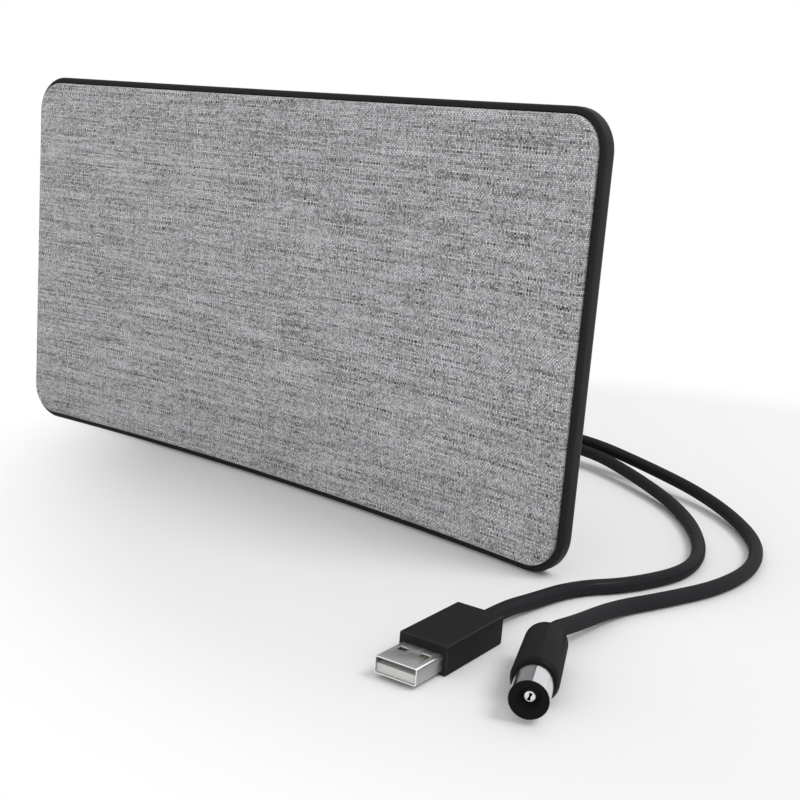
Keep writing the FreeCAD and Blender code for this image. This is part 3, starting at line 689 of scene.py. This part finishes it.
def makeRelief(name, x):
    wall, flange, lip = relief["wall"], relief["flange"], relief["flangeRound"]
    bore, tip = relief["bore"], relief["tip"]
    inside = -wall - relief["flangeThick"]
    outside, length = relief["flangeThick"], relief["length"]
    rings = [(bore, inside), (flange, inside), (flange, -wall), (relief["neck"], -wall), (relief["neck"], 0),
             (flange - relief["flangeFoot"], 0.0), (flange, relief["flangeFoot"]), (flange, outside - lip),
             (flange - lip, outside), (relief["root"], outside)]

    def outer(place):
        share = (place - outside) / (length - outside)
        return relief["root"] + (tip - relief["root"]) * share

    pitch = (length - outside) / (relief["grooves"] + 1)
    slope = relief["grooveSlope"]
    for number in range(relief["grooves"]):
        start = outside + (number + 1) * pitch - relief["groove"] / 2
        end = start + relief["groove"]
        floor = (outer(start) + bore) / 2
        rings += [(outer(start), start), (floor, start + slope), (floor, end - slope), (outer(end), end)]
    rings += [(tip, length - relief["tipRound"]), (tip - relief["tipRound"], length), (bore, length),
              (bore, inside)]
    piece = turnPiece(name, inMetres(rings), hollow=True)
    moveInto(piece, Matrix.Translation((x, foot["backY"], leads["exitZ"])))
    smooth(piece, 35)
    return piece


usbRelief = makeRelief("usbRelief", usbRoute["x"])
coaxRelief = makeRelief("coaxRelief", coaxRoute["x"])
dress(usbRelief, reliefRubber, "usb_strain_relief")
dress(coaxRelief, reliefRubber, "coax_strain_relief")
print("screws and reliefs set")


# USB plug, in mm, modelled with the front of its grip at y = 0
usb = {"grip": (14.2, 28.0, 8.0), "gripRound": 0.5, "gripSteps": 4, "shell": (12.0, 11.75, 4.5),
       "shellBottom": 1.1, "wall": 0.3, "corner": 0.6, "cornerSteps": 5, "edgeRound": 0.07,
       "window": (2.5, 2.0), "windowSpacing": 6.2, "windowSetback": 3.9, "cutTop": 9, "gripSeam": 0.1}
flatFace = 0.97  # a normal with a larger part along one axis belongs to a flat, a smaller one to a fold


def makeUsbGrip():
    wide, long, high = (size * mm for size in usb["grip"])
    piece = startBlock("usbGrip", (-wide / 2, 0, 0), (wide / 2, long, high))
    pickAll(piece, "edges")
    bpy.ops.mesh.bevel(offset=usb["gripRound"] * mm, segments=usb["gripSteps"], affect="EDGES")
    closeEdit()
    smooth(piece, 40)
    dress(piece, gripPvc, "usb_grip")
    # the rounded edges are smoother than the flats, and paler as a painted highlight
    addFinish(piece, gripEdgeHighlightPvc, lambda centre, normal: max(abs(part) for part in normal) < flatFace)
    moveInto(piece, usbPlace)
    return piece


def makeUsbShell():
    wide, long, high = (size * mm for size in usb["shell"])
    wall = usb["wall"] * mm
    middleZ = usb["shellBottom"] * mm + high / 2
    piece = startPlate("usbShell", wide, high, usb["corner"] * mm, -long, middleZ, usb["cornerSteps"])
    pickAll(piece, "faces")
    pushOut(0, long, 0)
    faceOutwards(piece)
    pick(piece, "faces", lambda centre, normal: normal.y < -0.9)
    bpy.ops.mesh.inset(thickness=wall)
    pushOut(0, long - wall, 0)
    closeEdit()
    faceOutwards(piece)
    halfWide, halfLong = (size / 2 * mm for size in usb["window"])
    y = -usb["windowSetback"] * mm
    for side in (-1, 1):
        x = side * usb["windowSpacing"] / 2 * mm
        cutter = startBlock("window", (x - halfWide, y - halfLong, 0),
                            (x + halfWide, y + halfLong, usb["cutTop"] * mm))
        combine(piece, cutter, "DIFFERENCE")
    useModifier(piece, "BEVEL", width=usb["edgeRound"] * mm, segments=2, limit_method="ANGLE",
                angle_limit=math.radians(60))
    smooth(piece, 40)

    def isFold(centre, normal):
        return max(abs(normal.x), abs(normal.z)) < flatFace and centre.y < -usb["gripSeam"] * mm

    dress(piece, shellNickel, "usb_shell")
    addFinish(piece, edgeHighlightNickel, isFold)  # painted highlight: the cut end and the folds are brighter and smoother than the flats
    moveInto(piece, usbPlace)
    return piece


usbGrip = makeUsbGrip()
usbShell = makeUsbShell()
print("usb plug made")


# Coaxial plug, in mm, modelled with its face at y = 0 on the plug's axis
coax = {"sleeve": 4.75, "sleeveLength": 10.4, "sleeveWall": 0.5, "steps": 96,
        "grip": 5.95, "gripTail": 5.6, "gripLength": 26.2, "gripCore": 1.0, "tailRound": 1.8, "tailSteps": 8,
        "noseLength": 1.5, "noseStep": 0.6, "noseRound": 0.15, "seamDepth": 0.04, "seamFront": 0.1,
        "seamBack": 0.05, "bevel": 0.4, "bevelCrown": 0.3, "face": 3.0, "dish": 3.4, "dishDepth": 2.4,
        "dishEdge": 0.1, "dishRound": 0.06, "contact": 1.35, "contactSteps": 48, "contactCore": 0.2,
        "contactRound": 0.2, "contactCrown": 0.06, "tip": 2.2, "slotHalf": 0.93, "slotWaist": 0.21,
        "slotEnd": 0.47, "slotDepth": 5.0, "slotOvercut": 1, "slotMargin": 0.1, "slotTilt": 14}


def makeCoaxGrip():
    grip, core, tailRound = coax["grip"], coax["gripCore"], coax["tailRound"]
    front = coax["sleeveLength"]
    back = front + coax["gripLength"]
    nose = front + coax["noseLength"]
    noseRadius = grip - coax["noseStep"]
    rings = [(core, front), (noseRadius - coax["noseRound"], front), (noseRadius, front + coax["noseRound"]),
             (grip - coax["seamDepth"], nose - coax["seamFront"]), (grip, nose + coax["seamBack"])]
    for step in range(coax["tailSteps"] + 1):
        turn = math.radians(90 * step / coax["tailSteps"])
        rings.append((coax["gripTail"] - tailRound + tailRound * math.cos(turn),
                      back - tailRound + tailRound * math.sin(turn)))
    rings.append((core, back))
    piece = turnPiece("coaxGrip", inMetres(rings), steps=coax["steps"])
    smooth(piece, 28)
    dress(piece, gripPvc, "coax_grip")
    # the nose of the grip is a darker black
    addFinish(piece, nosePvc, lambda centre, normal: centre.y < (nose - coax["seamBack"]) * mm)
    moveInto(piece, coaxPlace)
    return piece


def makeCoaxSleeve():
    outer, inner = coax["sleeve"], coax["sleeve"] - coax["sleeveWall"]
    front, back = coax["bevel"], coax["sleeveLength"]
    rings = [(inner, front), (outer, front), (outer, back), (inner, back), (inner, front)]
    piece = turnPiece("coaxSleeve", inMetres(rings), hollow=True, steps=coax["steps"])
    smooth(piece, 35)
    moveInto(piece, coaxPlace)
    return piece


def makeCoaxFace():
    outer, inner, hole = coax["sleeve"], coax["sleeve"] - coax["sleeveWall"], coax["contact"]
    bevel, deep, dish = coax["bevel"], coax["face"], coax["dish"]
    crown = bevel * coax["bevelCrown"]
    rings = [(hole, coax["dishDepth"]), (dish - coax["dishEdge"], coax["dishRound"]),
             (dish + coax["dishEdge"], 0.0), (outer - bevel, 0.0), (outer - crown, crown), (outer, bevel),
             (inner, bevel), (inner, deep), (hole, deep), (hole, coax["dishDepth"])]
    piece = turnPiece("coaxFace", inMetres(rings), hollow=True, steps=coax["steps"])
    smooth(piece, 35)
    moveInto(piece, coaxPlace)
    return piece


def makeSlot():  # cutter for the contact, narrow in the middle
    half, end, tip = coax["slotHalf"] * mm, coax["slotEnd"] * mm, coax["tip"]
    slot = startBlock("slot", (-end, (tip - coax["slotOvercut"]) * mm, -half),
                      (end, (tip + coax["slotDepth"]) * mm, half))
    pickAll(slot, "faces")
    bpy.ops.mesh.bisect(plane_co=(0, 0, 0), plane_no=(0, 0, 1))
    pick(slot, "verts", lambda point: abs(point.z) < tiny)
    bpy.ops.transform.resize(value=(coax["slotWaist"] / coax["slotEnd"], 1, 1), center_override=(0, 0, 0))
    closeEdit()
    moveInto(slot, Matrix.Rotation(math.radians(coax["slotTilt"]), 4, "Y"))
    return slot


def makeCoaxContact():
    outer, tip, core = coax["contact"], coax["tip"], coax["contactCore"]
    crown, edge, margin = coax["contactCrown"], coax["contactRound"], coax["slotMargin"]
    back = coax["sleeveLength"]
    rings = [(core, tip), (outer - edge, tip), (outer - crown, tip + crown), (outer, tip + edge),
             (outer, back), (core, back)]
    piece = turnPiece("coaxContact", inMetres(rings), steps=coax["contactSteps"])
    combine(piece, makeSlot(), "DIFFERENCE")
    smooth(piece, 35)

    def inSlot(centre, normal):
        away = math.hypot(centre.x, centre.z)
        return away < (outer - margin) * mm and centre.y > (tip + margin) * mm and normal.y < 0.5

    dress(piece, contactNickel, "coax_contact")
    addFinish(piece, slotShadeNickel, inSlot)  # painted shade: the walls of the slot are dark and dull
    moveInto(piece, coaxPlace)
    return piece


coaxGrip = makeCoaxGrip()
coaxSleeve = makeCoaxSleeve()
coaxFace = makeCoaxFace()
coaxContact = makeCoaxContact()
dress(coaxSleeve, sleeveNickel, "coax_sleeve")
dress(coaxFace, insulatorPlastic, "coax_insulator")
print("coaxial plug made")


# Pieces that keep the solid's own shape
keptNodes = {"fabric_carrier": carrierAbs, "antenna_film": filmPolyester, "dipole_arms": foilCopper,
             "feed_pins": contactGold, "amplifier_board": boardMask, "shield_can": tinPlate,
             "filter_coils": foilCopper, "amplifier_chip": chipEpoxy, "board_screws": screwSteel,
             "usb_tongue": tongueNylon, "usb_contacts": contactGold}
for name, material in keptNodes.items():
    for holder in nodes[name].material_slots:
        holder.material = material
print("solids dressed")


# Floor, light and background
studio = {"floorSize": 8.0, "floor": "#f1f1f1", "floorRoughness": 0.9, "floorSpecular": 0.1,
          "fadeFrom": 0.205, "fadeTo": 0.285, "fadeMiddle": (0.13, 0.1, 0), "sky": 0.77}
lamp = {"name": "topSoftbox", "place": (1.0, 0.35, 1.45), "aim": (0.05, 0, 0.05), "size": 0.7, "power": 10.5}
white = (1, 1, 1, 1)


def seenRays(tree):  # 1 for what the camera, a reflection or a clear surface sees, 0 for light on the object
    ray = addNode(tree, "ShaderNodeLightPath")
    glossy = addNode(tree, "ShaderNodeMath",
                     {0: ray.outputs["Is Camera Ray"], 1: ray.outputs["Is Glossy Ray"]}, operation="MAXIMUM")
    through = addNode(tree, "ShaderNodeMath", {0: glossy.outputs[0], 1: ray.outputs["Is Transmission Ray"]},
                      operation="MAXIMUM")
    return through.outputs[0]


def makeFloor():  # matt board that fades to white away from the object
    letGo()
    bpy.ops.mesh.primitive_plane_add(size=studio["floorSize"], location=(0, 0, 0))
    floor = bpy.context.object
    floor.name = "studioFloor"
    material, tree, shader = startMaterial("matteWhiteBoard", {
        "Base Color": colour(studio["floor"]), "Roughness": studio["floorRoughness"],
        "Specular IOR Level": studio["floorSpecular"]})
    place = addNode(tree, "ShaderNodeTexCoord")
    far = addNode(tree, "ShaderNodeVectorMath", {0: place.outputs["Object"]}, {1: studio["fadeMiddle"]},
                  operation="DISTANCE")
    fade = addNode(tree, "ShaderNodeMapRange", {"Value": far.outputs["Value"]},
                   {"From Min": studio["fadeFrom"], "From Max": studio["fadeTo"]},
                   interpolation_type="SMOOTHSTEP")
    amount = addNode(tree, "ShaderNodeMath", {0: fade.outputs["Result"], 1: seenRays(tree)},
                     operation="MULTIPLY")
    glow = addNode(tree, "ShaderNodeEmission", sockets={"Color": white, "Strength": 1.0})
    mix = addNode(tree, "ShaderNodeMixShader", {0: amount.outputs[0], 1: shader.outputs["BSDF"],
                                               2: glow.outputs["Emission"]})
    tree.links.new(mix.outputs[0], tree.nodes["Material Output"].inputs["Surface"])
    floor.data.materials.append(material)


def makeSky():  # even light from all sides, on a white background
    world = bpy.data.worlds.new("studioWorld")
    bpy.context.scene.world = world
    world.use_nodes = True
    tree = world.node_tree
    sky = tree.nodes["Background"]
    sky.inputs["Color"].default_value = white
    sky.inputs["Strength"].default_value = studio["sky"]
    seen = addNode(tree, "ShaderNodeBackground", sockets={"Color": white, "Strength": 1.0})
    mix = addNode(tree, "ShaderNodeMixShader", {0: seenRays(tree), 1: sky.outputs[0], 2: seen.outputs[0]})
    tree.links.new(mix.outputs[0], tree.nodes["World Output"].inputs["Surface"])


def hangLamp():
    letGo()
    bpy.ops.object.light_add(type="AREA", location=lamp["place"])
    light = bpy.context.object
    light.name = lamp["name"]
    direction = Vector(lamp["aim"]) - Vector(lamp["place"])
    light.rotation_euler = direction.to_track_quat("-Z", "Y").to_euler()
    light.data.size = lamp["size"]
    light.data.energy = lamp["power"]


makeFloor()
makeSky()
hangLamp()
bpy.context.scene.view_settings.view_transform = "Standard"
print("studio lit")
